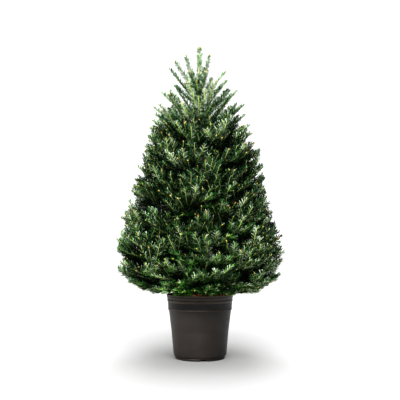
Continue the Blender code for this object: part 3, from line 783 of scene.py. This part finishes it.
def make_pot(finishes):
    """The outline turned about the trunk's line, with the foot lifted into a half ellipse at each drain slot.

    The band round the ridge, the bead and the lip's top are painted paler than the body, as painted highlights.
    The collar between bead and ridge is painted darker as painted shade, and a strip under the bead as a painted
    shadow.
    """
    outline = pot_outline()[1:-1]
    turn = FULL_TURN * np.arange(POT_STEPS) / POT_STEPS
    r = np.repeat(outline[:, :1], POT_STEPS, axis=1)
    z = np.repeat(outline[:, 1:], POT_STEPS, axis=1)
    spacing = FULL_TURN / SLOTS
    beside = (turn - FIRST_SLOT + 0.5 * spacing) % spacing - 0.5 * spacing
    across = np.clip(1.0 - (beside * FOOT_RADIUS / SLOT_HALF_WIDTH) ** 2, 0.0, 1.0)
    arch = SLOT_HEIGHT * np.sqrt(across)
    at_foot = (np.arange(len(outline)) > 0)[:, None] & (z < FOOT_HEIGHT)
    z = np.where(at_foot, np.maximum(z, arch[None]), z)
    points = polar(r, turn[None], z).reshape(-1, 3)
    middle = len(points)
    points = np.vstack([points, (0.0, 0.0, 0.0), (0.0, 0.0, 2 * FOOT_HEIGHT)])
    step = np.arange(POT_STEPS)
    after = (step + 1) % POT_STEPS
    last = (len(outline) - 1) * POT_STEPS
    underside = np.stack([after, step, np.full(POT_STEPS, middle)], axis=1)
    inside = np.stack([last + step, last + after, np.full(POT_STEPS, middle + 1)], axis=1)
    level = 0.5 * (outline[1:, 1] + outline[:-1, 1])
    outside = np.arange(len(level)) < np.argmax(outline[:, 1])
    # Painted highlight: the bead takes a paler copy of the plastic, as a light line under the collar
    on_bead = (level > BODY_TOP + 0.0001) & (level < BODY_TOP + BEAD_HEIGHT)
    over_ridge = level - POT_HEIGHT + RIDGE_BELOW_RIM
    # Painted highlight: the band round the ridge takes a paler copy of the plastic
    ridge_band_painted_highlight = (over_ridge > -RIDGE_HALF_HEIGHT) & (over_ridge < PAINTED_HIGHLIGHT_ABOVE_RIDGE)
    # Painted shade on the collar between bead and ridge, and a painted shadow on the strip under the bead
    collar_and_strip_painted_shade = (level > BODY_TOP - SHADED_STRIP) & (over_ridge < 0.0) & ~(ridge_band_painted_highlight | on_bead)
    # Painted highlight: the lip's top takes the palest copy of the plastic
    on_lip = level > POT_HEIGHT - 0.0034
    finish = ridge_band_painted_highlight + 2 * collar_and_strip_painted_shade + 3 * on_bead + 4 * on_lip
    kind = np.repeat(np.where(outside | (level > POT_HEIGHT - 0.001), finish, 0), POT_STEPS)
    blocks = [(ring_faces(len(outline), POT_STEPS), kind), (underside, 0), (inside, 0)]
    pot = put_mesh("nursery_pot", points, blocks, finishes, smooth=True)
    pot.data.set_sharp_from_angle(angle=math.radians(32.0))
    return dress(pot, "pot_plastic", "pot")


def soil_height(r):
    """The mound's height: level at the trunk, then half a cosine wave down to the wall."""
    share = np.clip((r - SOIL_FLAT_RADIUS) / (COLLAR_TOP_RADIUS - WALL - SOIL_FLAT_RADIUS), 0.0, 1.0)
    return SOIL_CROWN + (SOIL_EDGE - SOIL_CROWN) * (1.0 - np.cos(math.pi * share)) / 2.0


def make_soil(finish, chip_finishes):
    """A crumbly mound over a plug that follows the pot's wall, and loose flakes of bark pressed into it."""
    rng = np.random.default_rng(SEED + 1)
    rings, steps = 44, 120
    edge = COLLAR_TOP_RADIUS - WALL - 0.0004
    r = edge * np.linspace(0.02, 1.0, rings)[:, None]
    turn = (FULL_TURN * np.arange(steps) / steps)[None]
    x, y = r * np.cos(turn), r * np.sin(turn)
    crumbs = 0.0011 * ripple(90 * x, 90 * y, rng, 11, 5.0) + 0.0007 * ripple(420 * x, 420 * y, rng, 7, 2.0)
    settle = np.clip(r / SOIL_FLAT_RADIUS - 0.6, 0.0, 1.0)
    top = np.stack([x, y, soil_height(r) + 0.0 * turn + crumbs * settle - 0.0014], axis=-1)
    wall = [(edge, SOIL_EDGE - 0.006), (COLLAR_FOOT_RADIUS - WALL - 0.0004, BODY_TOP), (0.1, 0.03), (0.02, 0.03)]
    sides = np.stack([polar(radius, turn[0], height) for radius, height in wall])
    points = np.concatenate([top.reshape(-1, 3), sides.reshape(-1, 3)])
    count = rings + len(wall)
    middle = len(points)
    points = np.vstack([points, (0.0, 0.0, SOIL_CROWN - 0.0014), (0.0, 0.0, 0.03)])
    step = np.arange(steps)
    after = (step + 1) % steps
    last = (count - 1) * steps
    crown = np.stack([step, after, np.full(steps, middle)], axis=1)
    base = np.stack([last + after, last + step, np.full(steps, middle + 1)], axis=1)
    faces = ring_faces(count, steps)[:, ::-1]
    soil = put_mesh("compost", points, [(faces, 0), (crown, 0), (base, 0)], [finish], smooth=True)
    dress(soil, "compost", "soil")

    place = edge * np.sqrt(rng.uniform(0.05, 0.97, CHIPS))
    around = rng.uniform(0.0, FULL_TURN, CHIPS)
    size = np.stack([rng.uniform(0.004, 0.010, CHIPS), rng.uniform(0.0025, 0.005, CHIPS), rng.uniform(0.0006, 0.0015, CHIPS)], -1)
    centre = polar(place, around, soil_height(place) + 0.0006)
    long_way = unit(polar(1.0, rng.uniform(0.0, FULL_TURN, CHIPS), rng.normal(0.0, 0.28, CHIPS)))
    tilt = unit(np.stack([rng.normal(0.0, 0.3, CHIPS), rng.normal(0.0, 0.3, CHIPS), np.ones(CHIPS)], -1))
    wide_way = unit(np.cross(tilt, long_way))
    thick_way = np.cross(long_way, wide_way)
    signs = np.array([(x, y, z) for x in (-1, 1) for y in (-1, 1) for z in (-1, 1)], float)
    jitter = rng.uniform(0.55, 1.0, (CHIPS, 8, 3)) * signs[None]
    corners = centre[:, None] + sum(
        jitter[..., i : i + 1] * size[:, None, i : i + 1] * way[:, None]
        for i, way in enumerate((long_way, wide_way, thick_way))
    )
    shape = np.array([[0, 1, 3, 2], [4, 6, 7, 5], [0, 4, 5, 1], [2, 3, 7, 6], [0, 2, 6, 4], [1, 5, 7, 3]])
    faces = (8 * np.arange(CHIPS)[:, None, None] + shape[None]).reshape(-1, 4)
    kind = np.repeat(rng.integers(0, len(chip_finishes), CHIPS), len(shape))
    dress(put_mesh("bark_flakes", corners, [(faces, kind)], chip_finishes), "compost")


def make_bark(finish):
    """The trunk and boughs with bark relief: shallow upright furrows and resin blisters."""
    rng = np.random.default_rng(SEED + 2)
    rings, steps = 220, 32
    share = np.linspace(0.0, 1.0, rings) ** 1.5
    z = (TRUNK_FOOT + (TRUNK_TIP - TRUNK_FOOT) * share)[:, None]
    turn = (FULL_TURN * np.arange(steps) / steps)[None]
    relief = 0.5 * ripple(7 * np.cos(turn) + 25 * z, 7 * np.sin(turn) + 31 * z, rng, 9, 3.0)
    relief += 0.4 * ripple(16 * np.cos(turn), 16 * np.sin(turn) + 190 * z, rng, 9, 2.0)
    radius = trunk_radius(z, turn) * (1.0 + 0.045 * relief)
    points = [(trunk_centre(z[:, 0])[:, None] + polar(radius, turn, 0.0)).reshape(-1, 3)]
    blocks = [(ring_faces(rings, steps), 0)]
    blocks.append((np.arange(steps)[None, ::-1], 0))
    blocks.append(((rings - 1) * steps + np.arange(steps)[None], 0))
    used = rings * steps
    bough_rings, bough_steps = 26, 12
    share = np.linspace(0.06, 1.0, bough_rings)
    around = FULL_TURN * np.arange(bough_steps) / bough_steps
    for tier in range(BOUGH_TIERS):
        for sector in range(SECTORS[tier]):
            angle = mass_angle(tier, sector)
            path = bough_path(tier, angle, share)
            way = unit(np.gradient(path, axis=0))
            side = unit(np.cross(way, (0.0, 0.0, 1.0)))
            up = np.cross(side, way)
            relief = ripple(40 * share[:, None] + tier, 3 * around[None] + sector, rng, 9, 3.0)
            radius = BOUGH_RADIUS + (BOUGH_END_RADIUS - BOUGH_RADIUS) * share[:, None]
            radius = radius * (1.0 + 0.05 * relief + 0.35 * np.exp(-(share[:, None] - 0.06) / 0.05))
            spoke = up[:, None] * np.cos(around)[None, :, None] + side[:, None] * np.sin(around)[None, :, None]
            points.append((path[:, None] + radius[..., None] * spoke).reshape(-1, 3))
            blocks.append((used + ring_faces(bough_rings, bough_steps)[:, ::-1], 0))
            blocks.append((used + np.arange(bough_steps)[None], 0))
            blocks.append((used + (bough_rings - 1) * bough_steps + np.arange(bough_steps)[None, ::-1], 0))
            used += bough_rings * bough_steps
    bark = put_mesh("bark_of_trunk_and_boughs", np.concatenate(points), blocks, [finish], smooth=True)
    nodes = [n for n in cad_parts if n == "trunk" or n.startswith("bough_")]
    return dress(bark, "bark", *nodes)


# The tree


def grow(rng):
    """All limbs, forks and shoots of the crown, by generation."""
    numbers = np.concatenate([[0], np.cumsum(SECTORS)])
    limbs = together([skirt_limbs(rng, numbers), spiral_limbs(rng, numbers, LIMBS, LIMBS_FROM, WHORLS_FROM, 1.0)])
    height = limbs.start[:, 2] + limbs.along[:, 2] + limbs.bend[:, 2]
    proud = PROUD * rng.random(len(height)) * np.clip((height - PROUD_FROM) / (PROUD_TO - PROUD_FROM), 0.0, 1.0)
    limbs = limbs.cut_back(np.abs(rng.normal(0.008, 0.010, len(height))) + proud)
    whorls = whorl_limbs(rng, numbers)
    branched = whorls.rows(whorls.at(np.ones(len(whorls.start)))[:, 2] < SINGLE_FROM)
    forks = together(
        [
            side_shoots(limbs, NODE_STEP, 2, OPENING + 2.0, 0.72, 0.018, 0.22, 0.008, rng),
            side_shoots(branched, WHORL_STEP, 1, OPENING, 0.55, 0.020, 0.22, 0.012, rng),
        ]
    )
    limbs = together([limbs, whorls])
    twigs = side_shoots(forks, FORK_STEP, 1, OPENING + 2.0, 0.70, 0.020, 0.0, 0.008, rng)
    inner = spiral_limbs(rng, numbers, INNER_LIMBS, INNER_FROM, INNER_TO, INNER_OUT).cut_back(np.zeros(INNER_LIMBS))
    inner_forks = side_shoots(inner, NODE_STEP, 2, 50.0, 0.80, 0.030, 0.3, 0.0, rng)
    inner_forks = inner_forks.cut_back(np.full(len(inner_forks.start), -INNER_DEPTH))
    return limbs, forks, twigs, leader_axes(numbers[-1]), inner, inner_forks


def tone_of(axes, rng, shades):
    """A shade number for every axis, painting light and shade: darker deep in the crown, lighter at the skirt and top.
    """
    tip = axes.start + axes.along + axes.bend
    height = (tip[:, 2] - CROWN_FOOT) / (CROWN_TOP - CROWN_FOOT)
    # Painted shade: nearly five shades darker over the first tenth of a metre below the crown's surface
    shade = np.interp(height, TONE_HEIGHTS, TONES) - 48.0 * np.clip(depth_of(tip), 0.0, 0.1)
    shade += rng.normal(0.0, 1.1, len(tip))
    # Painted light: shoots at the spiky top never take the two darkest shades
    darkest = np.where(tip[:, 2] > SPIKY_FROM, 2, 0)
    return np.clip(np.round(shade), darkest, shades - 1).astype(int)


def make_foliage(finishes):
    """Twigs, needles and buds on every axis. Needles are joined by tier, in two halves round the tree."""
    rng = np.random.default_rng(SEED)
    limbs, forks, twigs, leader, inner, inner_forks = grow(rng)
    greens, silvers = finishes["greens"], finishes["silvers"]
    crown = together([limbs, forks, twigs])
    shaded = together([limbs, forks])
    core = together([inner, inner_forks])
    tone = tone_of(crown, rng, len(greens))
    parting = np.where(rise_at(crown.start[:, 2]) > np.radians(62.0), 0.9, PARTING)
    spiky = crown.at(np.ones(len(crown.start)))[:, 2] > SPIKY_FROM
    everywhere = np.ones(len(leader.start))
    top_tone = np.full(len(leader.start), len(greens) - 2)
    rows = merge_rows(
        [
            needle_rows(crown.rows(~spiky), tone[~spiky], 0.0, young_length(crown.rows(~spiky)), parting[~spiky], rng, YOUNG),
            needle_rows(crown.rows(spiky), tone[spiky], 0.0, WHOLE_LENGTH, parting[spiky], rng, SPIKE),
            old_needle_rows(shaded, young_length(shaded), rng),
            old_needle_rows(core, 0.0, rng),
            needle_rows(leader, top_tone, 0.0, WHOLE_LENGTH, everywhere, rng, LEADER),
        ]
    )
    rows["tone"] = np.clip(rows["tone"], 0, len(greens) - 1)
    numbers = np.concatenate([[0], np.cumsum(SECTORS)])
    for tier, sectors in enumerate(SECTORS):
        for half, label in enumerate(("a", "b")):
            mine = [s for s in range(sectors) if s % 2 == half]
            masses = [numbers[tier] + s for s in mine]
            nodes = [f"foliage_{tier + 1}_{s + 1}" for s in mine]
            if tier == len(SECTORS) - 1 and half == 1:
                masses.append(numbers[-1])
                nodes.append("foliage_leader")
            chosen = np.isin(rows["mass"], masses)
            picked = {key: value[chosen] for key, value in rows.items()}
            piece = needle_piece(f"needles_{tier + 1}_{label}", picked, greens + silvers, len(greens))
            dress(piece, "needles", *nodes)

    whole = np.zeros(len(limbs.start))
    young = np.clip(1.0 - THIS_YEAR / limbs.length(), 0.0, 1.0)
    at_young = LIMB_RADIUS + (SHOOT_RADIUS * 1.2 - LIMB_RADIUS) * young
    shades = len(finishes["young_twigs"])
    # Twigs take darker bark where their shoot's needles are darker, so they carry the same painted light and shade
    shade = np.clip(shades - tone, 0, shades - 1)
    limb_shade, fork_shade, twig_shade = np.split(shade, np.cumsum([len(limbs.start), len(forks.start)]))
    tubes(
        "twigs",
        [
            (limbs, whole, young, whole + LIMB_RADIUS, at_young, 6, 5, shades),
            (limbs, young, whole + 1.0, at_young, whole + SHOOT_RADIUS, 3, 5, limb_shade),
            whole_tube(forks, 0.0009 + 0.008 * forks.length(), 4, 4, fork_shade),
            whole_tube(twigs, 1.2 * SHOOT_RADIUS, 3, 4, twig_shade),
            whole_tube(leader, 0.0024, 6, 6, 1),
            whole_tube(inner, LIMB_RADIUS, 5, 4, shades),
            whole_tube(inner_forks, 1.3 * SHOOT_RADIUS, 2, 3, shades),
        ],
        finishes["young_twigs"] + [finishes["old_twig"]],
    )
    dress(bpy.data.objects["twigs"], "bark")

    budded = rng.random(len(crown.start)) < np.where(spiky, 0.85, 0.48)
    tips = together([crown.rows(budded), leader])
    end = np.ones(len(tips.start))
    way, up, side = frames_at(tips, end)
    place = tips.at(end)
    size = rng.uniform(0.6, 1.1, len(place))
    size[-len(leader.start) :] = LEADER_BUD
    paired = (rng.random(len(end)) < 0.5) | (size == LEADER_BUD)
    spread = np.concatenate([side[paired], -side[paired]]) * 0.6
    around = unit(np.tile(way[paired], (2, 1)) + spread)
    feet = np.tile(place[paired] - way[paired] * 0.0020, (2, 1))
    buds = bud_piece(
        "buds",
        np.concatenate([place - way * 0.001, feet]),
        np.concatenate([way, around]),
        np.concatenate([size, 0.7 * size[paired], 0.7 * size[paired]]),
        finishes["buds"],
        rng,
    )
    dress(buds, "bark")
    return len(rows["foot"]), len(crown.start)


# Finishes


def principled(name, colour, roughness, **sockets):
    """A Principled finish of one colour, given as sRGB out of 255."""
    made = bpy.data.materials.new(name)
    made.use_nodes = True
    shader = made.node_tree.nodes["Principled BSDF"]
    shader.inputs["Base Color"].default_value = (*linear(colour), 1.0)
    shader.inputs["Roughness"].default_value = roughness
    for socket, value in sockets.items():
        shader.inputs[socket.replace("_", " ")].default_value = value
    return made


def linear(colour):
    """sRGB out of 255 to linear light."""
    share = np.asarray(colour, float) / 255.0
    return tuple(np.where(share <= 0.04045, share / 12.92, ((share + 0.055) / 1.055) ** 2.4))


def pattern(material, scale, detail, stretch=(1.0, 1.0, 1.0)):
    """A noise texture on Object coordinates, stretched by a Mapping node. Returns its value socket."""
    nodes, links = material.node_tree.nodes, material.node_tree.links
    place = nodes.new("ShaderNodeTexCoord")
    mapping = nodes.new("ShaderNodeMapping")
    mapping.inputs["Scale"].default_value = stretch
    noise = nodes.new("ShaderNodeTexNoise")
    noise.inputs["Scale"].default_value = scale
    noise.inputs["Detail"].default_value = detail
    links.new(place.outputs["Object"], mapping.inputs["Vector"])
    links.new(mapping.outputs["Vector"], noise.inputs["Vector"])
    return noise.outputs["Fac"]


def ramp(material, value, stops):
    """A colour ramp over a value. A stop is (place, sRGB colour)."""
    nodes, links = material.node_tree.nodes, material.node_tree.links
    made = nodes.new("ShaderNodeValToRGB")
    while len(made.color_ramp.elements) < len(stops):
        made.color_ramp.elements.new(1.0)
    for element, (place, colour) in zip(made.color_ramp.elements, stops):
        element.position = place
        element.color = (*linear(colour), 1.0)
    links.new(value, made.inputs["Fac"])
    return made.outputs["Color"]


def stretch_value(material, value, low, high):
    """A value in 0 to 1 mapped to low to high."""
    nodes, links = material.node_tree.nodes, material.node_tree.links
    made = nodes.new("ShaderNodeMapRange")
    made.inputs["From Min"].default_value = 0.3
    made.inputs["From Max"].default_value = 0.7
    made.inputs["To Min"].default_value = low
    made.inputs["To Max"].default_value = high
    links.new(value, made.inputs["Value"])
    return made.outputs["Result"]


def bump(material, value, strength, depth):
    """A bump from a value, in metres of depth, on the shader's normal."""
    nodes, links = material.node_tree.nodes, material.node_tree.links
    made = nodes.new("ShaderNodeBump")
    made.inputs["Strength"].default_value = strength
    made.inputs["Distance"].default_value = depth
    links.new(value, made.inputs["Height"])
    links.new(made.outputs["Normal"], nodes["Principled BSDF"].inputs["Normal"])


def pot_plastic(name, shade):
    """Satin brown-black plastic: faint cloudy fading, dust that catches in the grain, and a fine moulded grain."""
    # The shade scales all three colours; paler and darker copies of this plastic paint highlights and shade on the pot
    tones = [tuple(shade * np.array(tone)) for tone in ((33, 28, 24), (36, 31, 27), (40, 35, 30))]
    made = principled(name, tones[1], 0.42)
    links, shader = made.node_tree.links, made.node_tree.nodes["Principled BSDF"]
    cloud = pattern(made, 16.0, 5.0)
    links.new(ramp(made, cloud, list(zip((0.30, 0.52, 0.75), tones))), shader.inputs["Base Color"])
    links.new(stretch_value(made, pattern(made, 55.0, 4.0), 0.40, 0.50), shader.inputs["Roughness"])
    bump(made, pattern(made, 900.0, 2.0), 0.25, 0.0003)
    return made


def compost():
    """Dark red-brown bark compost with paler fibres, all raised paler than life: painted light that lifts it out of the
    crown's shade.
    """
    made = principled("bark_compost", (84, 48, 32), 0.95)
    links, shader = made.node_tree.links, made.node_tree.nodes["Principled BSDF"]
    crumbs = pattern(made, 260.0, 6.0)
    links.new(ramp(made, crumbs, [(0.30, (84, 48, 34)), (0.50, (156, 92, 66)), (0.72, (214, 152, 116))]), shader.inputs["Base Color"])
    bump(made, pattern(made, 520.0, 5.0), 0.8, 0.0012)
    return made


def bark():
    """Smooth grey-brown young bark with darker furrows and pale patches."""
    made = principled("young_fir_bark", (66, 55, 45), 0.85)
    links, shader = made.node_tree.links, made.node_tree.nodes["Principled BSDF"]
    streaks = pattern(made, 120.0, 6.0, (1.0, 1.0, 0.35))
    links.new(ramp(made, streaks, [(0.30, (38, 30, 23)), (0.50, (66, 55, 45)), (0.75, (98, 88, 76))]), shader.inputs["Base Color"])
    bump(made, pattern(made, 420.0, 5.0, (1.0, 1.0, 0.5)), 0.6, 0.0008)
    return made


def foliage_finishes():
    """Plain shades that are dealt out by shoot: five greens for upper faces and five silvers for lower ones."""
    greens = [(3, 14, 3), (7, 36, 6), (16, 59, 12), (35, 85, 25), (72, 115, 49)]
    silvers = [(5, 20, 6), (17, 47, 17), (53, 87, 51), (110, 133, 105), (172, 184, 162)]
    buds = [(158, 136, 64), (148, 138, 67), (132, 124, 59), (140, 106, 53)]
    young_twigs = [(134, 144, 65), (112, 122, 55), (86, 94, 43)]
    return {
        "greens": [
            principled(f"needle_green_{i + 1}", c, 0.40, Specular_IOR_Level=0.35) for i, c in enumerate(greens)
        ],
        "silvers": [
            principled(f"needle_silver_{i + 1}", c, 0.50, Specular_IOR_Level=0.35) for i, c in enumerate(silvers)
        ],
        "old_twig": principled("twig_bark_old", (42, 31, 21), 0.8),
        "young_twigs": [principled(f"twig_bark_young_{i + 1}", c, 0.5) for i, c in enumerate(young_twigs)],
        "buds": [principled(f"bud_scales_{i + 1}", c, 0.45) for i, c in enumerate(buds)],
    }


# Stage


def area_light(name, place, aim, size, watts, colour=(1.0, 1.0, 1.0)):
    """A square soft light that faces its aim."""
    data = bpy.data.lights.new(name, "AREA")
    data.shape = "SQUARE"
    data.size = size
    data.energy = watts
    data.color = colour
    light = bpy.data.objects.new(name, data)
    light.location = place
    light.rotation_euler = (Vector(aim) - Vector(place)).to_track_quat("-Z", "Y").to_euler()
    bpy.context.scene.collection.objects.link(light)
    return light


def make_stage():
    """A white floor, a white backdrop, a soft light from above, a key at the left, a side light and a low fill.

    The key and the fill leave the floor out, so that only the light from above draws the shadow round the pot. The
    backdrop is white to the camera and dimmer as a light.
    """
    half = 30.0
    corners = np.array([(-half, -half, 0.0), (half, -half, 0.0), (half, half, 0.0), (-half, half, 0.0)])
    paper = principled("studio_floor", (205, 205, 205), 0.9)
    paper.node_tree.nodes["Principled BSDF"].inputs["Specular IOR Level"].default_value = 0.0
    ground = put_mesh("studio_floor", corners, [(np.array([[0, 1, 2, 3]]), 0)], [paper])
    world = bpy.data.worlds.new("studio")
    world.use_nodes = True
    nodes, links = world.node_tree.nodes, world.node_tree.links
    surround = nodes["Background"]
    surround.inputs["Strength"].default_value = 0.12
    backdrop = nodes.new("ShaderNodeBackground")
    seen = nodes.new("ShaderNodeLightPath")
    choice = nodes.new("ShaderNodeMixShader")
    for background in (surround, backdrop):
        background.inputs["Color"].default_value = (1.0, 1.0, 1.0, 1.0)
    links.new(seen.outputs["Is Camera Ray"], choice.inputs[0])
    links.new(surround.outputs["Background"], choice.inputs[1])
    links.new(backdrop.outputs["Background"], choice.inputs[2])
    links.new(choice.outputs["Shader"], nodes["World Output"].inputs["Surface"])
    bpy.context.scene.world = world

    spared = bpy.data.collections.new("spared_by_key")
    spared.objects.link(ground)
    spared.collection_objects[0].light_linking.link_state = "EXCLUDE"
    key = area_light("key", (-1.5, -2.9, 2.3), (0.0, 0.0, 0.7), 0.6, 262.0)
    side = area_light("side", (2.3, 2.2, 1.3), (0.0, 0.0, 0.5), 1.0, 36.0)
    key.light_linking.receiver_collection = spared
    low_fill = area_light("low_fill", (-0.3, -3.2, 0.30), (0.0, 0.0, 0.34), 0.7, 64.0)
    pot_spared = bpy.data.collections.new("spared_by_side_and_fill")
    for i, piece in enumerate((ground, bpy.data.objects["nursery_pot"])):
        pot_spared.objects.link(piece)
        pot_spared.collection_objects[i].light_linking.link_state = "EXCLUDE"
    for light in (side, low_fill):
        light.light_linking.receiver_collection = pot_spared
    for i, (to_front, to_side, strength) in enumerate(OVERHEADS):
        overhead = bpy.data.objects.new(f"overhead_{i + 1}", bpy.data.lights.new(f"overhead_{i + 1}", "SUN"))
        overhead.data.energy = strength
        overhead.data.angle = math.radians(OVERHEAD_WIDTH_DEG)
        overhead.rotation_euler = (math.radians(to_front), math.radians(to_side), 0.0)
        bpy.context.scene.collection.objects.link(overhead)


def make_camera():
    data = bpy.data.cameras.new("camera")
    data.lens = LENS_MM
    data.sensor_width = 36.0
    camera = bpy.data.objects.new("camera", data)
    camera.location = (0.0, -CAMERA_DISTANCE, CAMERA_HEIGHT)
    aim = Vector((0.0, 0.0, AIM_HEIGHT))
    camera.rotation_euler = (aim - camera.location).to_track_quat("-Z", "Y").to_euler()
    bpy.context.scene.collection.objects.link(camera)
    bpy.context.scene.camera = camera


def main():
    make_camera()
    bpy.context.scene.view_settings.view_transform = "Standard"
    bpy.context.scene.view_settings.look = "High Contrast"
    make_pot(
        [
            pot_plastic("pot_plastic_satin", 0.94),
            # Painted highlight on the band round the ridge
            pot_plastic("pot_plastic_ridge_painted_highlight", 1.9),
            # Painted shade on the collar and painted shadow on the strip under the bead
            pot_plastic("pot_plastic_collar_painted_shade", 0.66),
            # Painted highlight on the bead
            pot_plastic("pot_plastic_bead_painted_highlight", 1.6),
            # Painted highlight on the lip's top
            pot_plastic("pot_plastic_lip_painted_highlight", 3.2),
        ]
    )
    make_stage()
    # Bark flakes raised paler than life: painted light that lifts them out of the crown's shade
    flakes = [(178, 104, 74), (214, 142, 108), (116, 68, 48), (230, 178, 142)]
    make_soil(compost(), [principled(f"bark_flake_{i + 1}", c, 0.9) for i, c in enumerate(flakes)])
    make_bark(bark())
    needles, shoots = make_foliage(foliage_finishes())
    print("needles", needles, "shoots", shoots)


main()
